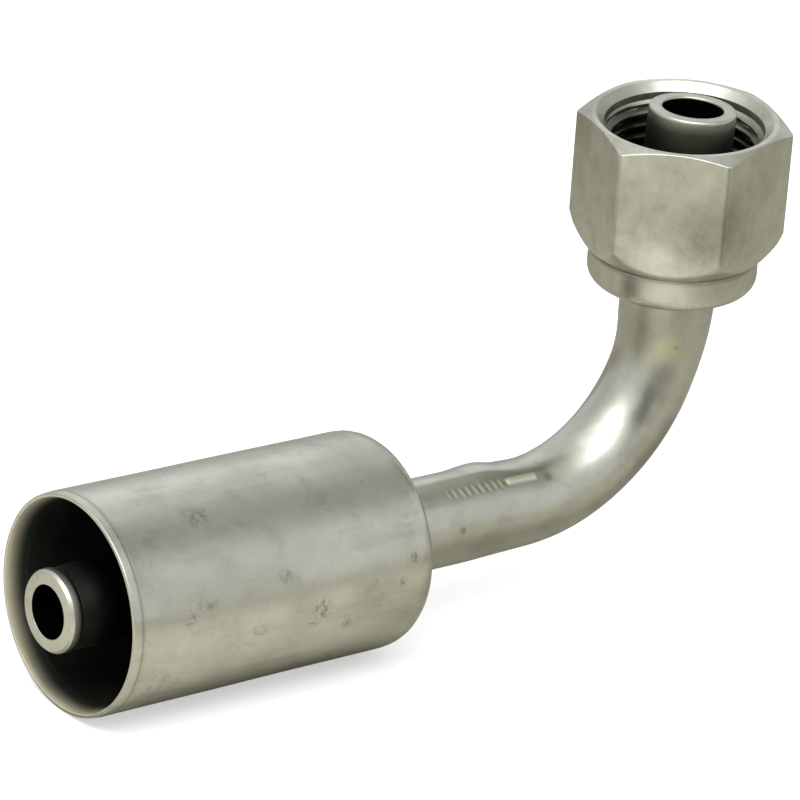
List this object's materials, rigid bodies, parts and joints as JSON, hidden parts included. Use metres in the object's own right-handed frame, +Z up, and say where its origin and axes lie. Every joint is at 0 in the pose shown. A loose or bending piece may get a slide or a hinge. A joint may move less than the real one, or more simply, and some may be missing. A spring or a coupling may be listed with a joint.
{
  "type": "swivel elbow hose fitting",
  "caption": "Right-angle steel hose fitting: open crimp ferrule over a barbed stem, bent tube, and a hexagonal swivel nut round a seal nose.",
  "frame": {"origin": "centre of the bounding box in plan, at its lowest level: 15.55 mm below the ferrule's axis", "axes": "+X from the ferrule's open mouth towards the nut, +Z up along the nut's axis away from the bend, +Y across; the ferrule and tube are symmetric about Y = 0"},
  "size_m": [0.1206, 0.031, 0.0726],
  "materials": {
    "ferrule_steel": "satin plated, lightly mottled",
    "stem_steel": "turned, satin",
    "tube_steel": "smooth plated, semi-gloss",
    "braze_filler": "dull, plated over",
    "nose_steel": "turned, satin",
    "seal_rubber": "matte black",
    "washer_steel": "ground",
    "nut_steel": "satin plated, rolled flats"
  },
  "bodies": {
    "fitting": {"hose_stem": "stem_steel", "stem_braze_ring": "braze_filler", "bent_tube": "tube_steel", "nose_braze_ring": "braze_filler", "seal_nose": "nose_steel", "seal_ring": "seal_rubber"},
    "ferrule": {"ferrule": "ferrule_steel"},
    "washer": {"thrust_washer": "washer_steel"},
    "nut": {"swivel_nut": "nut_steel"}
  },
  "joints": [
    {"name": "ferrule_spin", "type": "hinge", "parent": "fitting", "child": "ferrule", "pos_m": [-0.0054, 0, 0.01555], "axis": [1, 0, 0], "continuous": true},
    {"name": "nut_slide", "type": "slide", "parent": "fitting", "child": "washer", "axis": [0, 0, -1], "range_m": [0, 0.0055]},
    {"name": "nut_spin", "type": "hinge", "parent": "washer", "child": "nut", "pos_m": [0.04517, 0, 0.059], "axis": [0, 0, 1], "continuous": true}
  ]
}
